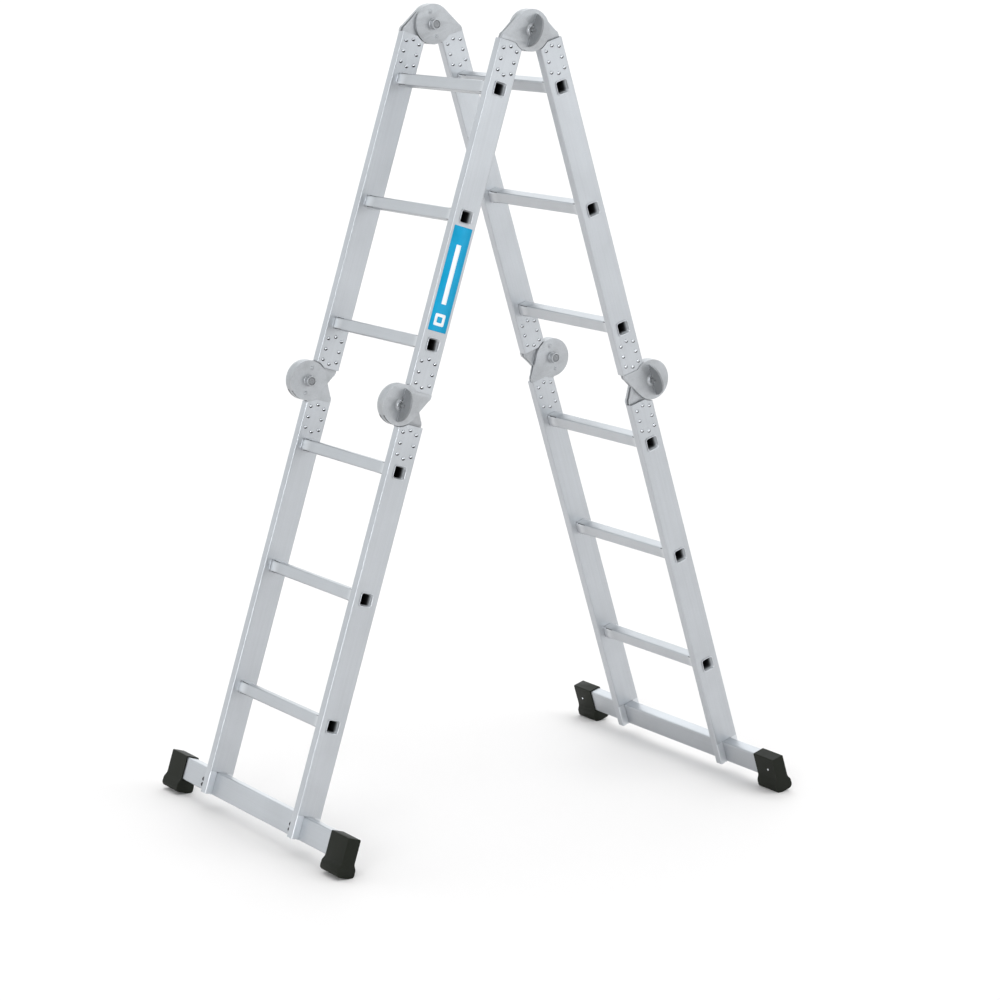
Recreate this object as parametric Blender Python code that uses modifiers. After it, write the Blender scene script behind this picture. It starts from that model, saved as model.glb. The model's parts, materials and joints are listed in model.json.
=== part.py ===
"""Multi position ladder: four folding sections, standing as an A-frame.

Metres, +Z up. X runs along the rungs and Y across the A-frame, with the front leg at -Y and the rear
leg at +Y. The origin is on the floor, midway between the four feet.

Inside a leg, a place is given as (x, out, down): out is measured outwards from the top hinge axis,
square to the rails, and down is measured from that axis along the rails.
"""
import math

import bmesh
import bpy
from mathutils import Matrix

# Driving dimensions.
RUNG_PITCH = 0.280
RUNGS_PER_SECTION = 3
LEG_TILT = math.radians(17.45)
OUTER_WIDTH = 0.415
RAIL_DEPTH = 0.060
RAIL_THICKNESS = 0.022
RAIL_WALL = 0.002
RAIL_CORNER = 0.0025
HINGE_OFFSET = 0.040
CLEARANCE = 0.0003
CUT_PAST = 0.010
SINK = 0.0002
WELD = 0.00001
FLOOR_BLOCK = (1.0, 1.6, 0.02)

# Rungs: square tube with swaged rims outside the rails.
RUNG_SIZE = 0.027
RUNG_WALL = 0.0018
RUNG_CORNER = 0.004
RIM_SIZE = 0.031
RIM_CORNER = 0.005
RIM_THICKNESS = 0.0012

# Hinges: four interleaved plates on a tubular axle, layers counted from the outside of the ladder.
DISC_RADIUS = 0.045
PLATE = 0.004
LAYER_GAP = 0.0004
FIRST_LAYER = RAIL_WALL + CLEARANCE
RAIL_END = 0.0365
TAIL_END = 0.122
DISC_ROOM = 0.0465
SLOT_EDGE = 0.046
SLOT_LENGTH = 0.100
SLOT_WIDTH = 0.130
SLOT_MIDDLE = 0.012
SPACER = 0.010
CAP_RADIUS = 0.044
CAP_FLAT = 0.022
CAP_RIM = 0.0006
CAP_CROWN = 0.0018
INNER_FACE = 0.0223
AXLE_RADIUS = 0.010
AXLE_CLEARANCE = 0.0007
AXLE_FLANGE = 0.015
AXLE_BORE = 0.005
HUB_RADIUS = 0.0104
HUB_BORE = 0.0082
HUB_TOP = 0.0068
BOSS_RADIUS = 0.0115
BOSS_END = 0.0367
BOSS_BORE = 0.0085
BOSS_FLOOR = 0.002
STUD_RADIUS = 0.004
STUD_PLACE = 0.029
STUD_HEIGHT = 0.0025

# Lock: a sprung spindle in the axle, drawn out by a half-moon grip that rocks on a cross pin.
SPINDLE_RADIUS = 0.0046
SPINDLE_HEAD = 0.0081
HEAD_LENGTH = 0.004
HEAD_INSET = 0.0005
CLEVIS_RADIUS = 0.0075
CLEVIS_BASE = 0.0038
CLEVIS_FLOOR = 0.0072
CLEVIS_TOP = 0.0225
CLEVIS_CUT = 0.030
PIN_HEIGHT = 0.0168
PIN_RADIUS = 0.002
PIN_LENGTH = 0.017
GRIP_RADIUS = 0.034
GRIP_THICKNESS = 0.004
GRIP_NOTCH = (0.0125, 0.007)

# Stabiliser bars and feet.
BAR_DEPTH = 0.026
BAR_HEIGHT = 0.052
BAR_WALL = 0.002
BAR_CORNER = 0.003
BAR_TOP = 1.739
HALF_SPAN = 0.397
FOOT_LENGTH = 0.070
FOOT_WALL = 0.0025
FOOT_END = 0.004
SOLE_BOTTOM = 1.822
SOLE_HALF = 0.022
SOLE_RADIUS = 0.010
SOLE_NECK = 0.044
TREAD_CUT = 0.0015
SOLE_TAPER = 0.010
SOLE_EDGE = 0.002
FOOT_BEVEL = 0.002
SCREW_SPACING = 0.010
SCREW_LEVEL = 0.034
SCREW_INBOARD = 0.164
SCREW_OUTBOARD = 0.234
SCREW_HEAD = [(0, 0.002), (0.003, 0.0017), (0.0045, 0)]
SCREW_SHANK = 0.0025
SCREW_HOLE = 0.0028
SCREW_LENGTH = 0.0035
NUT_STRIP = (0.012, 0.003, 0.026)

# Worked out from the above.
HALF_WIDTH = OUTER_WIDTH / 2
CUTTER_SPAN = (-HALF_WIDTH - CUT_PAST, HALF_WIDTH + CUT_PAST)
SECTION_SPAN = RUNG_PITCH * RUNGS_PER_SECTION
MID_PIVOT = (2 * HINGE_OFFSET, SECTION_SPAN)
SOLE_CENTRE_OUT = HINGE_OFFSET - (SOLE_HALF - SOLE_RADIUS)
SOLE_CENTRE_DOWN = SOLE_BOTTOM - SOLE_RADIUS
PIVOT_HEIGHT = (SOLE_CENTRE_DOWN * math.cos(LEG_TILT) - SOLE_CENTRE_OUT * math.sin(LEG_TILT)
                + SOLE_RADIUS - TREAD_CUT)
LAYERS = [FIRST_LAYER + i * (PLATE + LAYER_GAP) for i in range(4)]
SIDES = {"right": 1, "left": -1}
LEGS = {"front": -1, "rear": 1}

# Mesh axes (x, y, z) go to (z, x, y), so that an outline drawn in XY stands in YZ.
STAND_UP = Matrix(((0, 0, 1, 0), (1, 0, 0, 0), (0, 1, 0, 0), (0, 0, 0, 1)))


def clear_scene():
    for thing in list(bpy.data.objects):
        bpy.data.objects.remove(thing, do_unlink=True)


def new_collection(name):
    group = bpy.data.collections.new(name)
    bpy.context.scene.collection.children.link(group)
    return group


def new_material(name, colour, roughness, metallic):
    material = bpy.data.materials.new(name)
    material.use_nodes = True
    shader = material.node_tree.nodes["Principled BSDF"]
    shader.inputs["Base Color"].default_value = (*colour, 1)
    shader.inputs["Roughness"].default_value = roughness
    shader.inputs["Metallic"].default_value = metallic
    return material


clear_scene()
PARTS = new_collection("multi_position_ladder")
CUTTERS = new_collection("cutters")
ALUMINIUM = new_material("extruded_aluminium", (0.60, 0.61, 0.62), 0.42, 0.9)
RUNG_ALUMINIUM = new_material("rung_aluminium", (0.58, 0.59, 0.60), 0.38, 0.9)
ZINC = new_material("zinc_plated_steel", (0.52, 0.53, 0.53), 0.36, 0.9)
CAST = new_material("cast_grip", (0.50, 0.50, 0.50), 0.45, 0.85)
STEEL = new_material("bright_steel", (0.62, 0.62, 0.63), 0.28, 1.0)
RUBBER = new_material("black_moulded_plastic", (0.030, 0.032, 0.026), 0.55, 0.0)


# Shapes.

def arc(centre, radius, start, end, steps):
    """Points on an arc, both ends included, with angles in degrees."""
    points = []
    for i in range(steps + 1):
        angle = math.radians(start + (end - start) * i / steps)
        points.append((centre[0] + radius * math.cos(angle), centre[1] + radius * math.sin(angle)))
    return points


def circle(radius, count, centre=(0, 0)):
    return arc(centre, radius, 0, 360 - 360 / count, count - 1)


def rounded_rectangle(width, height, radius, steps):
    x, y = width / 2 - radius, height / 2 - radius
    points = arc((x, y), radius, 0, 90, steps)
    points += arc((-x, y), radius, 90, 180, steps)
    points += arc((-x, -y), radius, 180, 270, steps)
    points += arc((x, -y), radius, 270, 360, steps)
    return points


def rectangle(width, height):
    x, y = width / 2, height / 2
    return [(x, y), (-x, y), (-x, -y), (x, -y)]


def mesh_of(scratch, name):
    """The evaluated mesh of a scratch object, welded, with its faces pointing out."""
    bpy.context.scene.collection.objects.link(scratch)
    graph = bpy.context.evaluated_depsgraph_get()
    mesh = bpy.data.meshes.new_from_object(scratch.evaluated_get(graph))
    mesh.name = name
    bpy.data.objects.remove(scratch, do_unlink=True)
    work = bmesh.new()
    work.from_mesh(mesh)
    bmesh.ops.remove_doubles(work, verts=work.verts, dist=WELD)
    bmesh.ops.recalc_face_normals(work, faces=work.faces)
    work.to_mesh(mesh)
    work.free()
    return mesh


def prism(name, outlines, low, high):
    """Flat outlines in XY, an inner one making a hole, from z = low to z = high."""
    curve = bpy.data.curves.new(name, "CURVE")
    curve.dimensions = "2D"
    curve.fill_mode = "BOTH"
    curve.extrude = (high - low) / 2
    for outline in outlines:
        spline = curve.splines.new("POLY")
        spline.points.add(len(outline) - 1)
        for point, (x, y) in zip(spline.points, outline):
            point.co = (x, y, 0, 1)
        spline.use_cyclic_u = True
    mesh = mesh_of(bpy.data.objects.new(name, curve), name)
    mesh.transform(Matrix.Translation((0, 0, (high + low) / 2)))
    return mesh


def turned(name, profile, steps):
    """A (radius, height) profile turned about Z. A ring's profile is a loop clear of the axis."""
    mesh = bpy.data.meshes.new(name)
    work = bmesh.new()
    points = [work.verts.new((radius, 0, height)) for radius, height in profile]
    for first, second in zip(points, points[1:]):
        work.edges.new((first, second))
    if profile[0][0] > 0:
        work.edges.new((points[-1], points[0]))
    work.to_mesh(mesh)
    work.free()
    scratch = bpy.data.objects.new(name, mesh)
    screw = scratch.modifiers.new("turn", "SCREW")
    screw.steps = steps
    screw.render_steps = steps
    screw.use_merge_vertices = True
    screw.merge_threshold = WELD
    return mesh_of(scratch, name)


def box(name, size):
    mesh = bpy.data.meshes.new(name)
    work = bmesh.new()
    bmesh.ops.create_cube(work, size=1)
    bmesh.ops.scale(work, vec=size, verts=work.verts)
    work.to_mesh(mesh)
    work.free()
    return mesh


def standing(mesh, side=1):
    """Turns a mesh made along Z so that it runs along X, outwards on the given side."""
    mesh.transform(STAND_UP)
    if side < 0:
        mesh.transform(Matrix.Rotation(math.pi, 4, "Z"))
    return mesh


# Objects.

class Frame:
    """An empty on a joint axis of one leg, which carries the pieces placed in that leg."""

    def __init__(self, name, leg, pivot):
        self.leg = LEGS[leg]
        self.out, self.down = pivot
        self.empty = bpy.data.objects.new(name, None)
        self.empty.empty_display_size = 0.05
        tilt = self.leg * LEG_TILT
        level = PIVOT_HEIGHT + self.out * math.sin(LEG_TILT) - self.down * math.cos(LEG_TILT)
        spread = self.out * math.cos(LEG_TILT) + self.down * math.sin(LEG_TILT)
        self.empty.location = (0, self.leg * spread, level)
        self.empty.rotation_euler = (tilt, 0, 0)
        PARTS.objects.link(self.empty)

    def add(self, name, mesh, place, material=None):
        """A piece at (x, out, down), or a cutter where no material is given."""
        thing = bpy.data.objects.new(name, mesh)
        x, out, down = place
        thing.parent = self.empty
        thing.location = (x, self.leg * (out - self.out), self.down - down)
        if material:
            mesh.materials.clear()
            mesh.materials.append(material)
            mesh.shade_smooth()
            mesh.set_sharp_from_angle(angle=math.radians(30))
            PARTS.objects.link(thing)
        else:
            thing.hide_render = True
            thing.display_type = "WIRE"
            CUTTERS.objects.link(thing)
        return thing


def combine(thing, other, operation):
    modifier = thing.modifiers.new(other.name, "BOOLEAN")
    modifier.operation = operation
    modifier.solver = "EXACT"
    modifier.object = other


# Rails and rungs.

def section_cutters(frame, name, first_rung, pivots):
    """Openings that both rails of a section share: rung holes, and room for the hinge discs."""
    hole = RUNG_SIZE + 2 * CLEARANCE
    hole_outline = rounded_rectangle(hole, hole, RUNG_CORNER, 1)
    cutters = []
    for i in range(RUNGS_PER_SECTION):
        mesh = standing(prism(name + "_rung_hole", [hole_outline], *CUTTER_SPAN))
        place = (0, HINGE_OFFSET, first_rung + i * RUNG_PITCH)
        cutters.append(frame.add(f"{name}_rung_hole_{i + 1}", mesh, place))
    for i, (out, down) in enumerate(pivots):
        mesh = standing(prism(name + "_disc_room", [circle(DISC_ROOM, 32)], *CUTTER_SPAN))
        cutters.append(frame.add(f"{name}_disc_room_{i + 1}", mesh, (0, out, down)))
    return cutters


def slot_cutter(frame, name):
    """The slot, open at the bottom of the lower rails, that the stabiliser bar sits in."""
    top = BAR_TOP - CLEARANCE
    height = BAR_HEIGHT + 2 * CUT_PAST
    mesh = box(name + "_bar_slot", (OUTER_WIDTH + 2 * CUT_PAST, BAR_DEPTH + 2 * CLEARANCE, height))
    return frame.add(name + "_bar_slot", mesh, (0, HINGE_OFFSET, top + height / 2))


def rails(frame, name, start, end, cutters):
    outer = rounded_rectangle(RAIL_THICKNESS, RAIL_DEPTH, RAIL_CORNER, 1)
    inner = rectangle(RAIL_THICKNESS - 2 * RAIL_WALL, RAIL_DEPTH - 2 * RAIL_WALL)
    half = (end - start) / 2
    for side, sign in SIDES.items():
        mesh = prism(f"{name}_rail_{side}", [outer, inner], -half, half)
        place = (sign * (HALF_WIDTH - RAIL_THICKNESS / 2), HINGE_OFFSET, (start + end) / 2)
        rail = frame.add(f"{name}_rail_{side}", mesh, place, ALUMINIUM)
        for cutter in cutters:
            combine(rail, cutter, "DIFFERENCE")


def rungs(frame, name, first_rung):
    outline = rounded_rectangle(RUNG_SIZE, RUNG_SIZE, RUNG_CORNER, 1)
    rim_outline = rounded_rectangle(RIM_SIZE, RIM_SIZE, RIM_CORNER, 1)
    bore_size = RUNG_SIZE - 2 * RUNG_WALL
    inside = HALF_WIDTH + CLEARANCE
    outside = inside + RIM_THICKNESS
    for i in range(RUNGS_PER_SECTION):
        place = (0, HINGE_OFFSET, first_rung + i * RUNG_PITCH)
        label = f"{name}_rung_{i + 1}"
        tube = standing(prism(label, [outline], -outside + SINK, outside - SINK))
        rung = frame.add(label, tube, place, RUNG_ALUMINIUM)
        for side, sign in SIDES.items():
            rim = standing(prism(label + "_rim", [rim_outline], *sorted((sign * inside, sign * outside))))
            combine(rung, frame.add(f"{label}_rim_{side}", rim, place), "UNION")
        bore = box(label + "_bore", (OUTER_WIDTH + 2 * CUT_PAST, bore_size, bore_size))
        combine(rung, frame.add(label + "_bore", bore, place), "DIFFERENCE")


# Hinges. A hinge half is drawn as (a, b): a from the axis towards the rail side, b along its own rail.

def half_outline(a_sign, b_sign):
    """Round the axis, then straight along both edges of the tail that goes into the rail."""
    tail_low = HINGE_OFFSET - RAIL_DEPTH / 2 + RAIL_WALL + CLEARANCE
    tail_high = HINGE_OFFSET + RAIL_DEPTH / 2 - RAIL_WALL - CLEARANCE
    reach = math.hypot(tail_high, RAIL_END)
    bearing = math.degrees(math.atan2(RAIL_END, tail_high))
    tangent = bearing - math.degrees(math.acos(DISC_RADIUS / reach))
    meets = math.degrees(math.acos(tail_low / DISC_RADIUS))
    points = arc((0, 0), DISC_RADIUS, meets, 360 + tangent, 16)
    points += [(tail_high, RAIL_END), (tail_high, TAIL_END), (tail_low, TAIL_END)]
    return [(a_sign * a, b_sign * b) for a, b in points]


def across(sign, near, far):
    """The x range between two depths, measured inwards from the rail's outer face."""
    return sorted((sign * (HALF_WIDTH - near), sign * (HALF_WIDTH - far)))


def hinge_half(frame, name, sign, pivot, a_sign, b_sign, first_layer):
    """A fork of two plates, in layers 1 and 3 or 2 and 4, with the tail that joins them."""
    a_sign *= frame.leg
    start = LAYERS[first_layer]
    end = LAYERS[first_layer + 2] + PLATE
    place = (0, *pivot)
    mesh = standing(prism(name, [half_outline(a_sign, b_sign)], *across(sign, start, end)))
    fork = frame.add(name, mesh, place, ZINC)
    # The slot takes the other half's plate: its disc, and all that lies short of the rail.
    between = end - start - 2 * PLATE
    slot = box(name + "_slot", (between, SLOT_WIDTH, SLOT_LENGTH))
    slot.transform(Matrix.Translation((0, a_sign * SLOT_MIDDLE, b_sign * (SLOT_EDGE - SLOT_LENGTH / 2))))
    # In the rail the plates are kept apart by two spacers only.
    hollow_length = TAIL_END - SLOT_EDGE - 2 * SPACER
    hollow = box(name + "_hollow", (between, SLOT_WIDTH, hollow_length))
    hollow.transform(Matrix.Translation((0, 0, b_sign * (SLOT_EDGE + TAIL_END) / 2)))
    if first_layer == 0:
        cap = [(0, CAP_CROWN), (CAP_FLAT, CAP_CROWN), (CAP_RADIUS, CAP_RIM), (CAP_RADIUS, -start - SINK),
               (0, -start - SINK)]
        dome = standing(turned(name + "_cap", cap, 24), sign)
        combine(fork, frame.add(name + "_cap", dome, (sign * HALF_WIDTH, *pivot)), "UNION")
    else:
        disc_range = across(sign, end - SINK, INNER_FACE)
        inner_disc = standing(prism(name + "_disc", [circle(CAP_RADIUS, 24)], *disc_range))
        combine(fork, frame.add(name + "_disc", inner_disc, place), "UNION")
        for number, direction in enumerate((1, -1)):
            stud_outline = circle(STUD_RADIUS, 8, (0, direction * STUD_PLACE))
            ends = across(sign, INNER_FACE - 2 * SINK, INNER_FACE + STUD_HEIGHT)
            stud = standing(prism(name + "_stud", [stud_outline], *ends))
            combine(fork, frame.add(f"{name}_stud_{number + 1}", stud, place), "UNION")
    slot_place = (sign * (HALF_WIDTH - (start + end) / 2), *pivot)
    combine(fork, frame.add(name + "_slot", slot, slot_place), "DIFFERENCE")
    combine(fork, frame.add(name + "_hollow", hollow, slot_place), "DIFFERENCE")
    bore_outline = circle(AXLE_RADIUS + AXLE_CLEARANCE, 12)
    bore = standing(prism(name + "_bore", [bore_outline], *across(sign, -CUT_PAST, BOSS_END)))
    combine(fork, frame.add(name + "_bore", bore, place), "DIFFERENCE")


def axle(frame, name, sign, pivot):
    """The hollow axle: a flange and hub over the cap, and the barrel boss on the inner side."""
    flange_low = CAP_CROWN + LAYER_GAP
    flange_high = CLEVIS_BASE - LAYER_GAP
    boss_start = INNER_FACE + LAYER_GAP
    bore_step = boss_start + BOSS_FLOOR
    profile = [(AXLE_BORE, flange_high), (HUB_BORE, flange_high), (HUB_BORE, HUB_TOP),
               (HUB_RADIUS, HUB_TOP), (HUB_RADIUS, flange_high),
               (AXLE_FLANGE, flange_high), (AXLE_FLANGE, flange_low),
               (AXLE_RADIUS, flange_low), (AXLE_RADIUS, -boss_start), (BOSS_RADIUS, -boss_start),
               (BOSS_RADIUS, -BOSS_END), (BOSS_BORE, -BOSS_END), (BOSS_BORE, -bore_step),
               (AXLE_BORE, -bore_step)]
    mesh = standing(turned(name, profile, 12), sign)
    frame.add(name, mesh, (sign * HALF_WIDTH, *pivot), ZINC)


def lock_spindle(frame, name, sign, pivot):
    """The sliding spindle: its head runs in the boss, its clevis carries the grip's cross pin."""
    head_face = BOSS_END - HEAD_INSET
    head_back = head_face - HEAD_LENGTH
    profile = [(0, CLEVIS_TOP), (CLEVIS_RADIUS, CLEVIS_TOP), (CLEVIS_RADIUS, CLEVIS_BASE),
               (SPINDLE_RADIUS, CLEVIS_BASE), (SPINDLE_RADIUS, -head_back),
               (SPINDLE_HEAD, -head_back), (SPINDLE_HEAD, -head_face), (0, -head_face)]
    place = (sign * HALF_WIDTH, *pivot)
    spindle = frame.add(name, standing(turned(name, profile, 12), sign), place, STEEL)
    gap = GRIP_THICKNESS + 2 * LAYER_GAP
    slot = box(name + "_slot", (CLEVIS_CUT, gap, CLEVIS_CUT))
    slot_place = (sign * (HALF_WIDTH + CLEVIS_FLOOR + CLEVIS_CUT / 2), *pivot)
    combine(spindle, frame.add(name + "_slot", slot, slot_place), "DIFFERENCE")
    pin = prism(name + "_pin", [circle(PIN_RADIUS, 8)], -PIN_LENGTH / 2, PIN_LENGTH / 2)
    pin.transform(Matrix.Rotation(math.pi / 2, 4, "X"))
    pin_place = (sign * (HALF_WIDTH + PIN_HEIGHT), *pivot)
    combine(spindle, frame.add(name + "_pin", pin, pin_place), "UNION")


def release_grip(frame, name, sign, pivot):
    """The half-moon grip, standing on its straight edge along the rail, with its origin on the pin."""
    notch_half, notch_height = GRIP_NOTCH
    edge = CLEVIS_BASE - PIN_HEIGHT
    moon = arc((0, edge), GRIP_RADIUS, 0, 180, 14)
    moon += [(-notch_half, edge), (-notch_half, edge + notch_height)]
    moon += [(notch_half, edge + notch_height), (notch_half, edge)]
    hole = circle(PIN_RADIUS + LAYER_GAP, 8)
    mesh = prism(name, [moon, hole], -GRIP_THICKNESS / 2, GRIP_THICKNESS / 2)
    # The outline's height points outwards along X, and its length lies along the rail.
    mesh.transform(Matrix.Rotation(math.pi / 2, 4, "X"))
    mesh.transform(Matrix.Rotation(sign * math.pi / 2, 4, "Y"))
    frame.add(name, mesh, (sign * (HALF_WIDTH + PIN_HEIGHT), *pivot), CAST)


def hinge(name, outer, inner, pivot, a_sign, outer_b, inner_b):
    """Both hinges on one axis. The outer section has the outermost plate, the axle and the lock."""
    for side, sign in SIDES.items():
        label = f"{name}_{side}"
        hinge_half(outer, label + "_outer_fork", sign, pivot, a_sign, outer_b, 0)
        hinge_half(inner, label + "_inner_fork", sign, pivot, a_sign, inner_b, 1)
        axle(outer, label + "_axle", sign, pivot)
        lock_spindle(outer, label + "_lock_spindle", sign, pivot)
        release_grip(outer, label + "_release_grip", sign, pivot)


# Stabilisers.

def stabiliser_bar(frame, name):
    outline = rounded_rectangle(BAR_DEPTH, BAR_HEIGHT, BAR_CORNER, 1)
    bore = rectangle(BAR_DEPTH - 2 * BAR_WALL, BAR_HEIGHT - 2 * BAR_WALL)
    half = HALF_SPAN - FOOT_END - CLEARANCE
    place = (0, HINGE_OFFSET, BAR_TOP + BAR_HEIGHT / 2)
    bar = frame.add(name, standing(prism(name, [outline, bore], -half, half)), place, ALUMINIUM)
    for number, x in enumerate(screw_places(frame)):
        for row in (-1, 1):
            hole = prism(f"{name}_hole", [circle(SCREW_HOLE, 8)], -3 * BAR_WALL, 3 * BAR_WALL)
            hole.transform(Matrix.Rotation(math.pi / 2, 4, "X"))
            level = BAR_TOP + SCREW_LEVEL + row * SCREW_SPACING / 2
            hole_place = (x, HINGE_OFFSET + BAR_DEPTH / 2, level)
            combine(bar, frame.add(f"{name}_hole_{number}_{row + 1}", hole, hole_place), "DIFFERENCE")


def screw_places(frame):
    """The two legs are the same part turned round, so the screw pairs swap sides."""
    return (-frame.leg * SCREW_INBOARD, frame.leg * SCREW_OUTBOARD)


def stabiliser_screws(frame, name):
    """Two pan-head screws in a nut strip inside the bar, for each rail."""
    strip_out = HINGE_OFFSET + BAR_DEPTH / 2 - BAR_WALL - CLEARANCE - NUT_STRIP[1] / 2
    face = HINGE_OFFSET + BAR_DEPTH / 2 + CLEARANCE
    for number, x in enumerate(screw_places(frame)):
        label = f"{name}_screws_{number + 1}"
        strip = box(label, NUT_STRIP)
        piece = frame.add(label, strip, (x, strip_out, BAR_TOP + SCREW_LEVEL), STEEL)
        for row in (-1, 1):
            profile = [*SCREW_HEAD, (SCREW_SHANK, 0), (SCREW_SHANK, -SCREW_LENGTH), (0, -SCREW_LENGTH)]
            screw = turned(label + "_screw", profile, 6)
            screw.transform(Matrix.Rotation(-frame.leg * math.pi / 2, 4, "X"))
            level = BAR_TOP + SCREW_LEVEL + row * SCREW_SPACING / 2
            combine(piece, frame.add(f"{label}_screw_{row + 1}", screw, (x, face, level)), "UNION")


def foot_outline(leg):
    """Sleeve round the bar, a neck, and a bulging sole with rounded corners."""
    half = BAR_DEPTH / 2 + FOOT_WALL
    bottom = BAR_TOP - SOLE_BOTTOM
    neck = -SOLE_NECK
    corner = bottom + SOLE_RADIUS
    points = [(half - FOOT_BEVEL, FOOT_WALL), (half, FOOT_WALL - FOOT_BEVEL), (half, neck)]
    points += [(SOLE_HALF - SOLE_EDGE, corner + SOLE_TAPER), (SOLE_HALF, corner + 2 * SOLE_EDGE)]
    points += [(-u, v) for u, v in arc((-SOLE_HALF + SOLE_RADIUS, corner), SOLE_RADIUS, 180, 270, 4)]
    points += [(-u, v) for u, v in reversed(points)]
    return [(leg * u, v) for u, v in points]


def feet(frame, name):
    pocket_depth = BAR_DEPTH + 2 * CLEARANCE
    pocket_height = BAR_HEIGHT + 2 * CLEARANCE
    for side, sign in SIDES.items():
        label = f"{name}_foot_{side}"
        mesh = standing(prism(label, [foot_outline(frame.leg)], -FOOT_LENGTH / 2, FOOT_LENGTH / 2))
        middle = sign * (HALF_SPAN - FOOT_LENGTH / 2)
        foot = frame.add(label, mesh, (middle, HINGE_OFFSET, BAR_TOP), RUBBER)
        bevel = foot.modifiers.new("rounded_ends", "BEVEL")
        bevel.width = FOOT_BEVEL
        bevel.segments = 1
        bevel.limit_method = "ANGLE"
        bevel.angle_limit = math.radians(60)
        pocket = box(label + "_pocket", (FOOT_LENGTH, pocket_depth, pocket_height))
        pocket_place = (middle - sign * FOOT_END, HINGE_OFFSET, BAR_TOP + BAR_HEIGHT / 2)
        combine(foot, frame.add(label + "_pocket", pocket, pocket_place), "DIFFERENCE")
        combine(foot, FLOOR, "DIFFERENCE")


# Assembly.

FLOOR = bpy.data.objects.new("floor_block", box("floor_block", FLOOR_BLOCK))
FLOOR.location = (0, 0, -FLOOR_BLOCK[2] / 2)
FLOOR.hide_render = True
FLOOR.display_type = "WIRE"
CUTTERS.objects.link(FLOOR)

UPPER = {leg: Frame(leg + "_upper_frame", leg, (0, 0)) for leg in LEGS}
LOWER = {leg: Frame(leg + "_lower_frame", leg, MID_PIVOT) for leg in LEGS}

for leg in LEGS:
    upper, lower = UPPER[leg], LOWER[leg]
    upper_name, lower_name = leg + "_upper", leg + "_lower"
    upper_cuts = section_cutters(upper, upper_name, RUNG_PITCH / 2, [(0, 0), MID_PIVOT])
    rails(upper, upper_name, RAIL_END, SECTION_SPAN - RAIL_END, upper_cuts)
    rungs(upper, upper_name, RUNG_PITCH / 2)
    lower_cuts = section_cutters(lower, lower_name, SECTION_SPAN + RUNG_PITCH / 2, [MID_PIVOT])
    lower_cuts.append(slot_cutter(lower, lower_name))
    rails(lower, lower_name, SECTION_SPAN + RAIL_END, BAR_TOP + BAR_HEIGHT, lower_cuts)
    rungs(lower, lower_name, SECTION_SPAN + RUNG_PITCH / 2)
    hinge(leg + "_hinge", upper, lower, MID_PIVOT, -1, 1, -1)
    stabiliser_bar(lower, leg + "_stabiliser_bar")
    stabiliser_screws(lower, leg + "_stabiliser")
    feet(lower, leg)

hinge("top_hinge", UPPER["front"], UPPER["rear"], (0, 0), 1, -1, -1)
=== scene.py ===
"""Looks of the multi position ladder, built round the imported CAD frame.

Pieces are drawn in leg coordinates (t, out, up): t runs along the rungs, out is measured outwards from
the top hinge axis, square to the rails, and up runs along the rails, towards that axis. The two legs
are the same part turned round, so t is +X in the rear leg and -X in the front leg.
"""

import json
import math

import bmesh
import bpy
from mathutils import Matrix, Vector


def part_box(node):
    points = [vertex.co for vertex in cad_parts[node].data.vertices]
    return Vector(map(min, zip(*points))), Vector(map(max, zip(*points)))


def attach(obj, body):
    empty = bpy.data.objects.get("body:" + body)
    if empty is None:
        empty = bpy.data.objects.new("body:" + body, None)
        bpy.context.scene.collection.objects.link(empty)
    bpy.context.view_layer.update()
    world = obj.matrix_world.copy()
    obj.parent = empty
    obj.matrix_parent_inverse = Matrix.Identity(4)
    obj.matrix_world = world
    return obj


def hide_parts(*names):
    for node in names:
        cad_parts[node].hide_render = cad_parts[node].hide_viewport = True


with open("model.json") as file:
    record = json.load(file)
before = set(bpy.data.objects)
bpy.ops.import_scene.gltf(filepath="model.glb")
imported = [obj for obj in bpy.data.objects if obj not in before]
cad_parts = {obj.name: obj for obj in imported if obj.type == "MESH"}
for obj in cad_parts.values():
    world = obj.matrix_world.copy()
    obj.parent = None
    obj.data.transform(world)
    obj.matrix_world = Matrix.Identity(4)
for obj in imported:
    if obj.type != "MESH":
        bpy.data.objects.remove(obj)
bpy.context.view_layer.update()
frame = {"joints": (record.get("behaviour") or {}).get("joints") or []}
JOINTS = {joint["name"]: joint for joint in frame["joints"]}


def middle(node):
    """The middle of a CAD node's box."""
    low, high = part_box(node)
    return (low + high) / 2


# Sizes read from the frame.
HIGH_RUNG, LOW_RUNG = middle("rear_upper_rung_1"), middle("rear_upper_rung_3")
TILT = math.atan2(LOW_RUNG.y - HIGH_RUNG.y, HIGH_RUNG.z - LOW_RUNG.z)
PITCH = (LOW_RUNG - HIGH_RUNG).length / 2
PIVOT_HEIGHT = JOINTS["top_fold"]["pos_m"][2]
RAIL_LOW, RAIL_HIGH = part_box("rear_upper_rail_right")
HALF_WIDTH = RAIL_HIGH.x
RAIL_THICKNESS = RAIL_HIGH.x - RAIL_LOW.x
HALF_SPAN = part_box("rear_foot_right")[1].x
SPAN = 3 * PITCH
OFFSET = HIGH_RUNG.y * math.cos(TILT) + (HIGH_RUNG.z - PIVOT_HEIGHT) * math.sin(TILT)

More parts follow.
